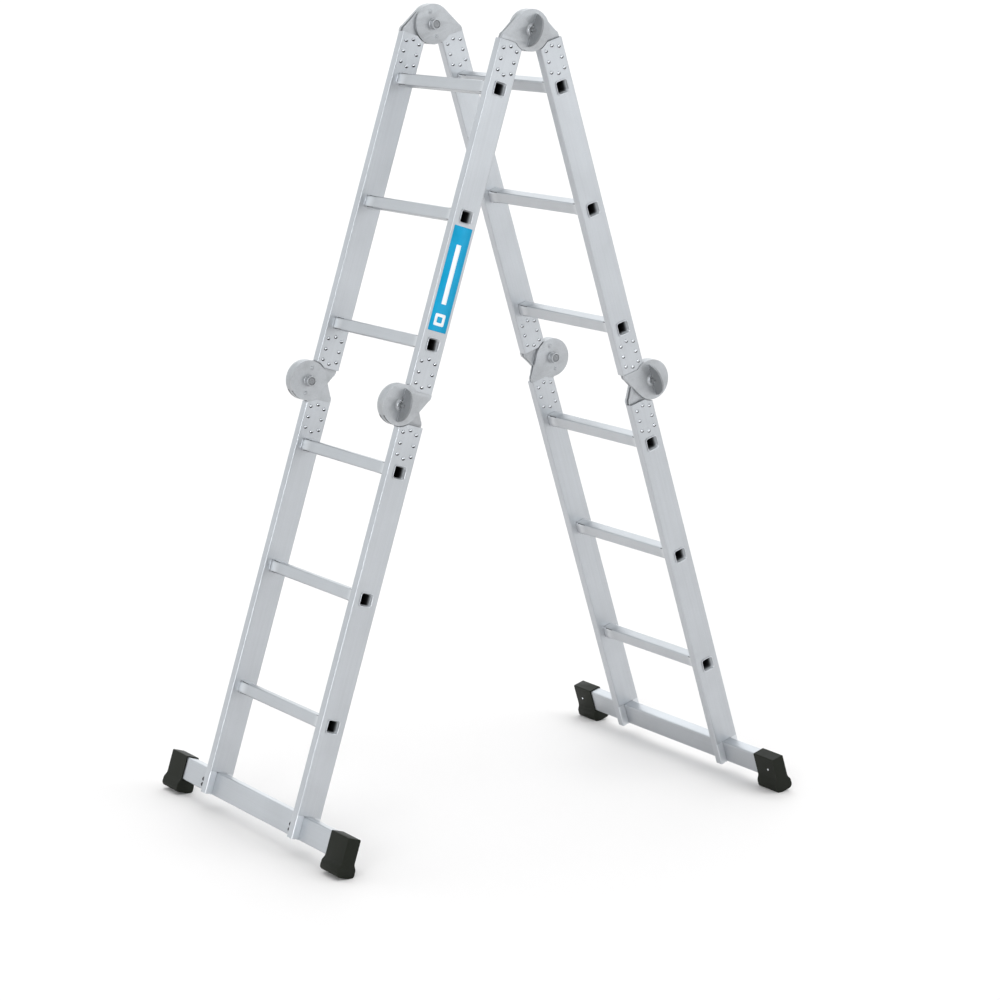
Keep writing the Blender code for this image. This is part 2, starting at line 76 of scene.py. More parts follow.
# Sizes shared with the CAD model.
RAIL_DEPTH = 0.060
RAIL_WALL = 0.002
GAP = 0.0003
RAIL_END = 0.0365
TAIL_END = 0.122
DISC_RADIUS = 0.045
SHOULDER = 0.0245
PLATE = 0.004
PLATE_PITCH = 0.0044
LAYERS = [RAIL_WALL + GAP + i * PLATE_PITCH for i in range(4)]
INNER_FACE = 0.0223
BOSS_END = 0.0367
RUNG = 0.027
RUNG_WALL = 0.0018
BAR_DEPTH = 0.026
BAR_HEIGHT = 0.052
BAR_TOP = 1.739
FOOT_LENGTH = 0.070
FOOT_WALL = 0.0025
FOOT_END = 0.004
SOLE_BOTTOM = 1.822
SOLE_HALF = 0.022
SOLE_RADIUS = 0.010
PIN_HEIGHT = 0.0168
SCREW_INBOARD = 0.164
SCREW_OUTBOARD = 0.234
SCREW_LEVEL = 0.034

# Sizes of the finer shapes, which only the looks have.
DISC_ROOM = 0.0476
COVER_RADIUS = 0.0450
COVER_THICKNESS = 0.0037
COVER_BORE = 0.0105
RIM = 0.031
RAIL_CORNER = 0.0026
TUBE_CORNER = 0.0012
HOLE_CORNER = 0.004
RUNG_TREADS = 5
LOCK_STUD_REACH = 0.029
GRIP_RADIUS = 0.0365
GRIP_EDGE = 0.0038
GRIP_HALF_THICKNESS = 0.0021
GRIP_NOTCH = (0.0128, 0.0044)
SCREW_SPREAD = 0.0062
SOLE_LIFT = 0.00005
RIVET_LIFT = 0.000001

# Points closer than this are one point.
MERGED = 0.00001

SIDES = {"right": 1, "left": -1}
LEGS = {"front": -1, "rear": 1}
ALONG_T = Matrix(((0, 0, 1, 0), (1, 0, 0, 0), (0, 1, 0, 0), (0, 0, 0, 1)))

# Where the leg coordinates of each leg lie in the frame, and the two fold axes as (out, up).
LEG = {"rear": Matrix.Translation((0, 0, PIVOT_HEIGHT)) @ Matrix.Rotation(TILT, 4, "X")}
LEG["front"] = (Matrix.Translation((0, 0, PIVOT_HEIGHT)) @ Matrix.Rotation(math.pi, 4, "Z")
                @ Matrix.Rotation(TILT, 4, "X"))
TOP = (0.0, 0.0)
MID = (2 * OFFSET, -SPAN)


# ---------------------------------------------------------------- shapes

def arc(centre, radius, start, end, steps):
    """Points along an arc, with its start and end in degrees."""
    points = []
    for i in range(steps + 1):
        angle = math.radians(start + (end - start) * i / steps)
        points.append((centre[0] + radius * math.cos(angle), centre[1] + radius * math.sin(angle)))
    return points


def circle(radius, count, centre=(0, 0)):
    return arc(centre, radius, 0, 360 - 360 / count, count - 1)


def rounded(width, height, radius, steps=5):
    """A rectangle about the origin, with rounded corners."""
    x, y = width / 2 - radius, height / 2 - radius
    points = []
    for turn, (cx, cy) in enumerate(((x, y), (-x, y), (-x, -y), (x, -y))):
        points += arc((cx, cy), radius, 90 * turn, 90 * turn + 90, steps)
    return points


def shifted(outline, dx, dy):
    return [(x + dx, y + dy) for x, y in outline]


def evaluated(scratch, *spare):
    """The mesh of a scratch object with its modifiers applied. The scratch objects are removed."""
    for thing in (scratch, *spare):
        if thing.name not in bpy.context.scene.collection.objects:
            bpy.context.scene.collection.objects.link(thing)
    graph = bpy.context.evaluated_depsgraph_get()
    mesh = bpy.data.meshes.new_from_object(scratch.evaluated_get(graph))
    for thing in (scratch, *spare):
        bpy.data.objects.remove(thing, do_unlink=True)
    return mesh


def tidied(mesh):
    """The mesh with doubled points merged and its faces pointing out."""
    work = bmesh.new()
    work.from_mesh(mesh)
    bmesh.ops.remove_doubles(work, verts=work.verts, dist=MERGED)
    bmesh.ops.recalc_face_normals(work, faces=work.faces)
    work.to_mesh(mesh)
    work.free()
    return mesh


def prism(outlines, low, high):
    """Flat outlines, an inner one making a hole, drawn out along the third axis."""
    curve = bpy.data.curves.new("outline", "CURVE")
    curve.dimensions = "2D"
    curve.fill_mode = "BOTH"
    curve.extrude = (high - low) / 2
    for outline in outlines:
        spline = curve.splines.new("POLY")
        spline.points.add(len(outline) - 1)
        for point, (x, y) in zip(spline.points, outline):
            point.co = (x, y, 0, 1)
        spline.use_cyclic_u = True
    mesh = tidied(evaluated(bpy.data.objects.new("outline", curve)))
    mesh.transform(Matrix.Translation((0, 0, (high + low) / 2)))
    return mesh


def slab(outlines, low, high):
    """A prism with its outline in (out, up), drawn out along t."""
    mesh = prism(outlines, low, high)
    mesh.transform(ALONG_T)
    return mesh


def turned(profile, steps=48):
    """A (radius, height) profile turned about the t axis. A ring's profile is a closed loop."""
    mesh = bpy.data.meshes.new("profile")
    work = bmesh.new()
    points = [work.verts.new((radius, 0, height)) for radius, height in profile]
    for first, second in zip(points, points[1:]):
        work.edges.new((first, second))
    if profile[0][0] > 0:
        work.edges.new((points[-1], points[0]))
    work.to_mesh(mesh)
    work.free()
    scratch = bpy.data.objects.new("profile", mesh)
    screw = scratch.modifiers.new("turn", "SCREW")
    screw.steps = screw.render_steps = steps
    screw.use_merge_vertices = True
    screw.merge_threshold = MERGED
    mesh = tidied(evaluated(scratch))
    mesh.transform(ALONG_T)
    return mesh


def brick(size, centre):
    mesh = bpy.data.meshes.new("brick")
    work = bmesh.new()
    bmesh.ops.create_cube(work, size=1)
    bmesh.ops.scale(work, vec=size, verts=work.verts)
    bmesh.ops.translate(work, vec=centre, verts=work.verts)
    work.to_mesh(mesh)
    work.free()
    return mesh


def moved(mesh, x=0.0, y=0.0, z=0.0):
    mesh.transform(Matrix.Translation((x, y, z)))
    return mesh


def mirrored(mesh):
    """The same shape for the other side of the ladder, with its faces still pointing out."""
    other = mesh.copy()
    other.transform(Matrix.Scale(-1, 4, (1, 0, 0)))
    other.flip_normals()
    return other


def cut(mesh, tools):
    """The mesh with every tool cut out of it."""
    scratch = bpy.data.objects.new("body", mesh)
    spare = []
    for tool in tools:
        other = bpy.data.objects.new("tool", tool)
        spare.append(other)
        modifier = scratch.modifiers.new("cut", "BOOLEAN")
        modifier.operation = "DIFFERENCE"
        modifier.solver = "EXACT"
        modifier.object = other
    return tidied(evaluated(scratch, *spare))


def joined(*meshes):
    """Separate closed shapes carried as one mesh, such as a row of rivets."""
    work = bmesh.new()
    for mesh in meshes:
        work.from_mesh(mesh)
    mesh = bpy.data.meshes.new("joined")
    work.to_mesh(mesh)
    work.free()
    return mesh


def softened(mesh, width, segments=2, angle=35, sharp=50):
    """Rounds the sharp edges, and shades the flats flat and the rounds smooth."""
    scratch = bpy.data.objects.new("soft", mesh)
    if width:
        bevel = scratch.modifiers.new("bevel", "BEVEL")
        bevel.width = width
        bevel.segments = segments
        bevel.limit_method = "ANGLE"
        bevel.angle_limit = math.radians(angle)
        bevel.use_clamp_overlap = True
    mesh = evaluated(scratch)
    mesh.shade_smooth()
    mesh.set_sharp_from_angle(angle=math.radians(sharp))
    scratch = bpy.data.objects.new("shade", mesh)
    weights = scratch.modifiers.new("weights", "WEIGHTED_NORMAL")
    weights.keep_sharp = True
    return evaluated(scratch)


def loft(loops):
    """A closed skin through a ring of loops, each with the same number of points."""
    mesh = bpy.data.meshes.new("loft")
    work = bmesh.new()
    rows = [[work.verts.new(point) for point in loop] for loop in loops]
    for row, after in zip(rows, rows[1:] + rows[:1]):
        for i, vertex in enumerate(row):
            j = (i + 1) % len(row)
            work.faces.new((vertex, row[j], after[j], after[i]))
    bmesh.ops.recalc_face_normals(work, faces=work.faces)
    work.to_mesh(mesh)
    work.free()
    return mesh


# ---------------------------------------------------------------- materials

class Shader:
    """A Principled material whose colour, roughness and bump come from nodes."""

    def __init__(self, name, metallic):
        self.material = bpy.data.materials.new(name)
        self.material.use_nodes = True
        self.tree = self.material.node_tree
        self.shader = self.tree.nodes["Principled BSDF"]
        self.shader.inputs["Metallic"].default_value = metallic
        self.place = self.node("ShaderNodeTexCoord").outputs["Object"]

    def node(self, kind, **values):
        node = self.tree.nodes.new(kind)
        for name, value in values.items():
            setattr(node, name, value)
        return node

    def link(self, output, target):
        self.tree.links.new(output, target)

    def noise(self, scale, stretch=(1, 1, 1), detail=3.0, roughness=0.55):
        mapping = self.node("ShaderNodeMapping")
        mapping.inputs["Scale"].default_value = stretch
        self.link(self.place, mapping.inputs["Vector"])
        noise = self.node("ShaderNodeTexNoise")
        noise.inputs["Scale"].default_value = scale
        noise.inputs["Detail"].default_value = detail
        noise.inputs["Roughness"].default_value = roughness
        self.link(mapping.outputs["Vector"], noise.inputs["Vector"])
        return noise.outputs["Fac"]

    def spread(self, value, low, high, start=0.3, end=0.7, smooth=False):
        """A value that runs from start to end, stretched to run from low to high."""
        node = self.node("ShaderNodeMapRange")
        if smooth:
            node.interpolation_type = "SMOOTHSTEP"
        node.inputs["From Min"].default_value = start
        node.inputs["From Max"].default_value = end
        node.inputs["To Min"].default_value = low
        node.inputs["To Max"].default_value = high
        self.link(value, node.inputs["Value"])
        return node.outputs["Result"]

    def ramp(self, value, *stops):
        """A colour for each value, from (value, colour) stops."""
        node = self.node("ShaderNodeValToRGB")
        node.color_ramp.elements[0].position = stops[0][0]
        node.color_ramp.elements[0].color = (*stops[0][1], 1)
        node.color_ramp.elements[1].position = stops[-1][0]
        node.color_ramp.elements[1].color = (*stops[-1][1], 1)
        for position, colour in stops[1:-1]:
            node.color_ramp.elements.new(position).color = (*colour, 1)
        self.link(value, node.inputs["Fac"])
        return node.outputs["Color"]

    def mix(self, factor, first, second, blend="MIX"):
        """Two colours mixed. The factor may be a number, and the second colour a plain one."""
        node = self.node("ShaderNodeMix", data_type="RGBA", blend_type=blend)
        if isinstance(factor, float):
            node.inputs[0].default_value = factor
        else:
            self.link(factor, node.inputs[0])
        self.link(first, node.inputs[6])
        if isinstance(second, tuple):
            node.inputs[7].default_value = (*second, 1)
        else:
            self.link(second, node.inputs[7])
        return node.outputs[2]

    def distance_along_t(self):
        """How far a point is from the middle of the ladder, along the rungs."""
        split = self.node("ShaderNodeSeparateXYZ")
        self.link(self.place, split.inputs["Vector"])
        reach = self.node("ShaderNodeMath", operation="ABSOLUTE")
        self.link(split.outputs["X"], reach.inputs[0])
        return reach.outputs[0]

    def bump(self, height, strength, distance, before=None):
        node = self.node("ShaderNodeBump")
        node.inputs["Strength"].default_value = strength
        node.inputs["Distance"].default_value = distance
        self.link(height, node.inputs["Height"])
        if before:
            self.link(before, node.inputs["Normal"])
        return node.outputs["Normal"]

    def finish(self, colour, roughness, normal):
        self.link(colour, self.shader.inputs["Base Color"])
        self.link(roughness, self.shader.inputs["Roughness"])
        self.link(normal, self.shader.inputs["Normal"])
        return self.material


def grey(level):
    """A faintly cool grey, as bare aluminium has."""
    return tuple(level * part for part in (0.980, 1.0, 1.024))


def drawn_metal(name, level, stretch, rough, metallic=0.85, grain=0.10, swaged=False):
    """Mill-finish extrusion: fine die lines along its length, faint stains and a satin grain. On a rung a
    painted highlight makes it paler towards the swaged ends."""
    s = Shader(name, metallic)
    stains = s.noise(7, detail=4)
    lines = s.noise(260, stretch, detail=2)
    speckle = s.noise(1500, detail=2, roughness=0.7)
    tone = s.ramp(stains, (0.30, grey(level * 0.94)), (0.72, grey(level * 1.04)))
    marks = s.ramp(lines, (0.32, grey(0.90)), (0.66, grey(1.0)))
    tone = s.mix(0.55, tone, s.mix(1.0, tone, marks, "MULTIPLY"))
    grains = s.ramp(speckle, (0.36, grey(0.86)), (0.60, grey(1.0)))
    tone = s.mix(grain * 4, tone, s.mix(1.0, tone, grains, "MULTIPLY"))
    # Painted highlight near the rung's swaged ends.
    if swaged:
        inner = HALF_WIDTH - RAIL_THICKNESS
        end_highlight = s.spread(s.distance_along_t(), 0.0, 1.0, inner - 0.040, inner - 0.012, smooth=True)
        tone = s.mix(end_highlight, tone, grey(level * 1.35))
    normal = s.bump(lines, 0.10, 0.0002)
    normal = s.bump(speckle, 0.10, 0.0001, normal)
    return s.finish(tone, s.spread(lines, rough - 0.05, rough + 0.06), normal)


def plated_metal(name, level, rough, metallic):
    """Pressed steel with dull zinc: soft clouds, a fine spangle and faint handling marks."""
    s = Shader(name, metallic)
    clouds = s.noise(34, detail=5, roughness=0.6)
    spangle = s.noise(420, detail=2)
    fine = s.noise(1800, detail=2)
    tone = s.ramp(clouds, (0.28, grey(level * 0.86)), (0.5, grey(level)), (0.75, grey(level * 1.08)))
    cells = s.ramp(spangle, (0.34, grey(0.88)), (0.64, grey(1.0)))
    tone = s.mix(0.6, tone, s.mix(1.0, tone, cells, "MULTIPLY"))
    normal = s.bump(clouds, 0.12, 0.0008)
    normal = s.bump(fine, 0.12, 0.0001, normal)
    return s.finish(tone, s.spread(clouds, rough - 0.06, rough + 0.09), normal)


def moulded_plastic(name):
    """Dark moulded plastic: fine spark grain, faint flow marks and dust on the grain."""
    s = Shader(name, 0.0)
    flow = s.noise(18, (1, 1, 0.4), detail=4)
    grain = s.noise(1300, detail=3, roughness=0.65)
    tone = s.ramp(flow, (0.30, (0.010, 0.0115, 0.0085)), (0.72, (0.016, 0.018, 0.0135)))
    dust = s.ramp(grain, (0.62, (0.0, 0.0, 0.0)), (0.80, (0.016, 0.016, 0.014)))
    tone = s.mix(0.6, tone, s.mix(1.0, tone, dust, "ADD"))
    normal = s.bump(grain, 0.35, 0.00015)
    s.shader.inputs["Specular IOR Level"].default_value = 0.10
    return s.finish(tone, s.spread(flow, 0.44, 0.58), normal)


def printed_film(name, colour):
    """Printed vinyl film with a light orange peel and faint fading."""
    s = Shader(name, 0.0)
    s.shader.inputs["Specular IOR Level"].default_value = 0.2
    fade = s.noise(22, detail=3)
    peel = s.noise(700, detail=2)
    light = tuple(min(1.0, part * 1.06 + 0.006) for part in colour)
    dark = tuple(part * 0.95 for part in colour)
    tone = s.ramp(fade, (0.32, dark), (0.70, light))
    return s.finish(tone, s.spread(fade, 0.30, 0.40), s.bump(peel, 0.08, 0.0001))


def mouth_metal(name):
    """The inside of a rung's end: pale at the lip and darkened further in by painted shade, with faint
    stains throughout.
    """
    s = Shader(name, 0.25)
    grime = s.noise(90, detail=4)
    lip = s.spread(s.distance_along_t(), 0.0, 1.0, HALF_WIDTH - 0.030, HALF_WIDTH)
    # Painted shade: the colour falls to near-black deeper inside the tube.
    tone = s.ramp(lip, (0.0, grey(0.01)), (0.48, grey(0.03)), (0.68, grey(0.20)), (0.86, grey(0.62)))
    stains = s.ramp(grime, (0.35, grey(0.82)), (0.65, grey(1.0)))
    tone = s.mix(0.8, tone, s.mix(1.0, tone, stains, "MULTIPLY"))
    return s.finish(tone, s.spread(grime, 0.38, 0.52), s.bump(grime, 0.1, 0.0003))


# Stretches that draw a noise out into lines along a rail or a rung.
ALONG_RAIL = (1, 1, 0.012)
ALONG_RUNG = (0.012, 1, 1)

RAIL_METAL = drawn_metal("rail_aluminium", 0.525, ALONG_RAIL, 0.36)
MILLED_METAL = drawn_metal("milled_aluminium", 0.66, ALONG_RAIL, 0.32, 0.7, grain=0.03)
BAR_METAL = drawn_metal("bar_aluminium", 0.52, ALONG_RUNG, 0.34)
RUNG_METAL = drawn_metal("rung_aluminium", 0.50, ALONG_RUNG, 0.32, grain=0.05, swaged=True)
RIM_METAL = drawn_metal("rolled_rim", 0.58, ALONG_RAIL, 0.33, grain=0.03)
MOUTH_METAL = mouth_metal("rung_mouth")
ZINC = plated_metal("zinc_plate", 0.455, 0.40, 0.65)
# A dark copy of the zinc, for the painted shade on the covers' downward-facing edges.
ZINC_PAINTED_SHADE = plated_metal("zinc_painted_shade", 0.13, 0.55, 0.4)
RIVET_METAL = plated_metal("rivet_metal", 0.66, 0.24, 0.85)
# A near-black copy of the rivet metal, for the painted shade on the rivets' shaded side.
RIVET_PAINTED_SHADE = plated_metal("rivet_painted_shade", 0.020, 0.50, 0.3)
CAST = plated_metal("cast_grip", 0.26, 0.44, 0.6)
STEEL = plated_metal("turned_steel", 0.62, 0.26, 0.9)
DARK_STEEL = plated_metal("blackened_screw", 0.14, 0.36, 0.8)
PLASTIC = moulded_plastic("moulded_foot")
BLUE_FILM = printed_film("blue_film", (0.0, 0.295, 0.52))
WHITE_FILM = printed_film("white_film", (0.80, 0.81, 0.82))


# ---------------------------------------------------------------- pieces

def piece(name, mesh, material, slot, body, matrix, *nodes):
    """Places a mesh, which a body carries and which stands for any CAD nodes given."""
    if not mesh.materials:
        for one in material if isinstance(material, tuple) else (material,):
            mesh.materials.append(one)
    thing = bpy.data.objects.new(name, mesh)
    bpy.context.scene.collection.objects.link(thing)
    thing.matrix_world = matrix
    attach(thing, body)
    if nodes:
        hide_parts(*nodes)


def at(leg, t=0.0, out=0.0, up=0.0):
    """Where a point in leg coordinates lies in the frame."""
    return LEG[leg] @ Matrix.Translation((t, out, up))


def t_sign(leg, side):
    """Which way along t a side of the ladder lies."""
    return LEGS[leg] * SIDES[side]


def rung_levels(first):
    """How high the three rungs of a section lie, the first being this far down."""
    return [-(first + i * PITCH) for i in range(3)]


def rail_mesh(start, end, first_rung, pivots, slotted):
    """A rail from down = start to down = end, cut for its rungs, the hinge discs and the bar."""
    outer = shifted(rounded(RAIL_THICKNESS, RAIL_DEPTH, RAIL_CORNER, 6), 0, OFFSET)
    bore = rounded(RAIL_THICKNESS - 2 * RAIL_WALL, RAIL_DEPTH - 2 * RAIL_WALL, TUBE_CORNER, 2)
    mesh = prism([outer, shifted(bore, 0, OFFSET)], -end, -start)
    past = RAIL_THICKNESS
    tools = []
    for level in rung_levels(first_rung):
        hole = rounded(RUNG + 2 * GAP, RUNG + 2 * GAP, HOLE_CORNER, 4)
        tools.append(slab([shifted(hole, OFFSET, level)], -past, past))
    for out, up in pivots:
        tools.append(slab([circle(DISC_ROOM, 96, (out, up))], -past, past))
    if slotted:
        notch = (2 * past, BAR_DEPTH + 2 * GAP, BAR_HEIGHT + 0.02)
        tools.append(brick(notch, (0, OFFSET, -BAR_TOP + GAP - notch[2] / 2)))
        drain, drain_at = (2 * past, 0.0042, 0.0022), BAR_DEPTH / 2 + 0.0055
        for way in (1, -1):
            tools.append(brick(drain, (0, OFFSET + way * drain_at, -end)))
    mesh = softened(cut(mesh, tools), 0.0003, 1, sharp=32)
    if slotted:
        work = bmesh.new()
        work.from_mesh(mesh)
        bmesh.ops.bisect_plane(work, geom=work.verts[:] + work.edges[:] + work.faces[:], dist=MERGED,
                               plane_co=(0, 0, -BAR_TOP), plane_no=(0, 0, 1))
        work.to_mesh(mesh)
        work.free()
        # The strips in front of and behind the bar are milled, so they are brighter.
        for face in mesh.polygons:
            face.material_index = int(face.center.z < -BAR_TOP - 0.001 and abs(face.normal.x) > 0.3)
    return mesh


def ribbed_square(size, corner, rib):
    """A rounded square in (out, up), with shallow tread ribs on its upper and lower sides."""
    half = size / 2
    reach = half - corner
    spacing = 2 * reach / RUNG_TREADS
    points = []
    corners = ((reach, reach), (-reach, reach), (-reach, -reach), (reach, -reach))
    for turn, centre in enumerate(corners):
        points += arc(centre, corner, 90 * turn, 90 * turn + 90, 5)
        if turn in (0, 2):
            way = 1 if turn == 0 else -1
            for i in range(RUNG_TREADS):
                groove_at = way * reach * (1 - (2 * i + 1) / RUNG_TREADS)
                for step, depth in ((0.30, 0), (0.16, 1), (-0.16, 1), (-0.30, 0)):
                    points.append((groove_at + way * step * spacing, way * (half - depth * rib)))
    return points


def rung_mesh():
    """One square tube: swaged beads inside the rails, rolled rims outside them, and an open bore. Each
    section is (t, size, corner radius, depth of the tread's grooves)."""
    face = HALF_WIDTH
    inner = HALF_WIDTH - RAIL_THICKNESS
    bore = RUNG - 2 * RUNG_WALL
    outside = [
        (0.0, RUNG, 0.0042, 0.0004), (inner - 0.034, RUNG, 0.0042, 0.0004),
        (inner - 0.024, RUNG + 0.0002, 0.0044, 0.0002), (inner - 0.0185, RUNG + 0.0009, 0.0048, 0),
        (inner - 0.0130, RUNG + 0.0019, 0.0055, 0), (inner - 0.0080, RUNG + 0.0027, 0.0062, 0),
        (inner - 0.0038, RUNG + 0.0030, 0.0066, 0), (inner - 0.0014, RUNG + 0.0026, 0.0064, 0),
        (inner - GAP, RUNG + 0.0016, 0.0056, 0), (inner - GAP, RUNG, 0.0042, 0),
        (face + GAP, RUNG, 0.0042, 0), (face + GAP, RIM - 0.0024, 0.0050, 0),
        (face + 0.0006, RIM + 0.0002, 0.0060, 0), (face + 0.0011, RIM + 0.0009, 0.0062, 0),
        (face + 0.0017, RIM + 0.0007, 0.0061, 0), (face + 0.0021, RIM, 0.0058, 0)]
    inside = [
        (face + 0.0022, RIM - 0.0012, 0.0054, 0), (face + 0.0018, RIM - 0.0026, 0.0050, 0),
        (face + 0.0010, RIM - 0.0038, 0.0046, 0), (face - 0.0012, RIM - 0.0052, 0.0046, 0),
        (face - 0.0040, RIM - 0.0066, 0.0045, 0), (face - 0.0065, RIM - 0.0073, 0.0044, 0),
        (face - 0.0090, bore, 0.0043, 0), (face - 0.0500, bore, 0.0030, 0), (0.0, bore, 0.0026, 0)]
    ring = outside + inside + [(-t, *rest) for t, *rest in reversed(inside[:-1])]
    ring += [(-t, *rest) for t, *rest in reversed(outside[1:])]
    loops = []
    for t, size, corner, groove in ring:
        loops.append([(t, out, up) for out, up in ribbed_square(size, corner, groove)])
    mesh = softened(loft(loops), 0, sharp=60)
    for facet in mesh.polygons:
        t, out, up = facet.center
        in_bore = max(abs(out), abs(up)) < RUNG / 2 - 0.0006
        if abs(t) > face + 0.0004:
            facet.material_index = 1
        elif in_bore and abs(t) > inner - 0.030:
            facet.material_index = 2
    return mesh


def half_outline(a_sign, b_sign):
    """A hinge plate: round the axis, then along both edges of the tail that goes into the rail."""
    low = OFFSET - RAIL_DEPTH / 2 + RAIL_WALL + GAP
    high = OFFSET + RAIL_DEPTH / 2 - RAIL_WALL - GAP
    start = math.degrees(math.acos(low / DISC_RADIUS))
    points = arc((0, 0), DISC_RADIUS, start, 360 + tangent_angle(high, SHOULDER), 80)
    points += shoulder(high) + [(high, TAIL_END), (low, TAIL_END)]
    return [(a_sign * a, b_sign * b) for a, b in points]


def tangent_angle(a, b):
    """Where a line from (a, b) touches the hinge disc."""
    return math.degrees(math.atan2(b, a) - math.acos(DISC_RADIUS / math.hypot(a, b)))


def shoulder(edge):
    """The rounded corner between the disc's tangent and a tail's outer edge."""
    return [(edge - 0.0048, SHOULDER - 0.0034), (edge - 0.0022, SHOULDER - 0.0004),
            (edge - 0.0006, SHOULDER + 0.0030), (edge, SHOULDER + 0.0064)]


def cover_outline(a_sign, b_sign):
    """The raised cover of a hinge: the disc, running on in one piece to the end of its own rail."""
    edge = OFFSET + RAIL_DEPTH / 2 - 0.0010
    stop = RAIL_END - GAP
    room = DISC_ROOM - GAP
    meets = math.degrees(math.asin(stop / room))
    rail_side = math.degrees(math.acos((OFFSET - RAIL_DEPTH / 2) / room))
    points = arc((0, 0), COVER_RADIUS, rail_side + 2, 360 + tangent_angle(edge, SHOULDER), 96)
    points += shoulder(edge) + [(edge, stop)]
    points += arc((0, 0), room, meets, rail_side, 12)
    return [(a_sign * a, b_sign * b) for a, b in points]


def painted_shade_below(mesh):
    """Marks the edges of a plate that face down for the second material, a painted shade that darkens
    them.
    """
    for face in mesh.polygons:
        face.material_index = int(face.normal.z < -0.68 and abs(face.normal.x) < 0.7)
    return mesh


def fork_mesh(outermost, a_sign, b_sign):
    """A fork of two plates with its raised cover. x is height above the rail's outer face."""
    first = 0 if outermost else 1
    start, end = LAYERS[first], LAYERS[first + 2] + PLATE
    mesh = slab([half_outline(a_sign, b_sign)], -end, -start)
    middle_x = -(start + end) / 2
    between = end - start - 2 * PLATE
    # The room between the plates is cleared round the axis and along the tail, leaving a bridge.
    disc_room = brick((between, 0.130, 0.100), (middle_x, a_sign * 0.012, b_sign * -0.004))
    tail_room = brick((between, 0.130, 0.056), (middle_x, 0, b_sign * 0.084))
    mesh = softened(cut(mesh, [disc_room, tail_room]), 0.0006, 2)
    # The cover's downward-facing edges carry painted shade as their second material.
    outline = [cover_outline(a_sign, b_sign), circle(COVER_BORE, 48)]
    if outermost:
        cover = softened(slab(outline, -start - COVER_THICKNESS, 0.0014), 0.0017, 4, sharp=60)
        return joined(mesh, painted_shade_below(cover))
    face = -INNER_FACE
    cover = softened(slab(outline, face, -end + COVER_THICKNESS), 0.0014, 4, sharp=60)
    parts = [mesh, painted_shade_below(cover)]
    # The crossing lock pins show as domed studs, each in a thin ring.
    dome = [(0, face - 0.0026), (0.0014, face - 0.0025), (0.0028, face - 0.0019),
            (0.0037, face - 0.0008), (0.0041, face + 0.0006), (0, face + 0.0006)]
    ring = [(0.0041, face + 0.0004), (0.0041, face - 0.0003), (0.0053, face - 0.0005),
            (0.0060, face - 0.0001), (0.0062, face + 0.0004)]
    for way in (1, -1):
        for shape in (dome, ring):
            parts.append(moved(softened(turned(shape, 24), 0, sharp=60), z=way * LOCK_STUD_REACH))
    return joined(*parts)


def axle_mesh():
    """The hollow axle: rolled flange and hub outside, barrel boss with a stepped mouth inside."""
    face, step, end = -INNER_FACE - 0.0004, -0.0240, -BOSS_END
    profile = [(0.0080, 0.0040), (0.0080, 0.0054), (0.0084, 0.0058), (0.0106, 0.0058), (0.0113, 0.0055),
               (0.0116, 0.0048), (0.0117, 0.0037), (0.0135, 0.0033), (0.0148, 0.0029), (0.0150, 0.0024),
               (0.0146, 0.0021), (0.0100, 0.0021), (0.0100, face), (0.0128, face),
               (0.0132, face - 0.0008), (0.0128, face - 0.0018), (0.0118, face - 0.0022),
               (0.0115, face - 0.0030), (0.0115, end + 0.0008), (0.0113, end + 0.0003), (0.0108, end),
               (0.0092, end), (0.0089, end + 0.0003), (0.0088, end + 0.0010), (0.0088, step),
               (0.0052, step), (0.0052, 0.0040)]
    mesh = softened(turned(profile, 64), 0, sharp=50)
    for facet in mesh.polygons:
        facet.material_index = int(facet.center.x > 0.0042)
    return mesh


def spindle_mesh():
    """Lock spindle: domed head in the boss, and a slotted clevis with the grip's cross pin."""
    head = -BOSS_END
    profile = [(0, 0.0196), (0.0020, 0.0195), (0.0030, 0.0189), (0.0036, 0.0180), (0.0038, 0.0168),
               (0.0038, 0.0084), (0.0046, 0.0076), (0.0046, 0.0060), (0.0046, head + 0.0045),
               (0.0079, head + 0.0045), (0.0079, head + 0.0010), (0.0077, head + 0.0006),
               (0.0072, head + 0.0004), (0.0030, head + 0.0004), (0.0024, head + 0.0009),
               (0, head + 0.0010)]
    slot = brick((0.030, 0.0052, 0.030), (0.0213, 0, 0))
    body = softened(cut(turned(profile, 48), [slot]), 0.0003, 2, sharp=40)
    pin = prism([circle(0.002, 24)], -0.0050, 0.0050)
    pin.transform(Matrix.Translation((PIN_HEIGHT, 0, 0)) @ Matrix.Rotation(math.pi / 2, 4, "X"))
    return joined(body, softened(pin, 0.0004, 2))


def grip_mesh():
    """Half-moon grip on its pin: a thick web with a rounded edge, and a notch for the axle's hub. The
    straight edge that bears on the hinge cover takes the brighter steel as a painted highlight."""
    edge = GRIP_EDGE - PIN_HEIGHT
    corner = 0.0010
    notch_half, notch_height = GRIP_NOTCH
    notch_top = edge + notch_height
    easing = 0.0012
    moon = [(GRIP_RADIUS, edge)] + arc((0, edge + corner), GRIP_RADIUS - corner, 2, 178, 56)
    moon += [(-GRIP_RADIUS, edge)]
    notch = [(-notch_half, edge), (-notch_half, notch_top - easing), (-notch_half + easing, notch_top),
             (notch_half - easing, notch_top), (notch_half, notch_top - easing), (notch_half, edge)]
    mesh = prism([moon + notch, circle(0.0021, 24)], -GRIP_HALF_THICKNESS, GRIP_HALF_THICKNESS)
    mesh = softened(mesh, 0.0007, 3, sharp=60)
    for facet in mesh.polygons:
        # Painted highlight: the straight edge's faces take the second, brighter material.
        facet.material_index = int(facet.center.y < edge + corner)
    mesh.transform(Matrix.Rotation(math.pi / 2, 4, "X"))
    mesh.transform(Matrix.Rotation(math.pi / 2, 4, "Y"))
    return moved(mesh, x=PIN_HEIGHT)


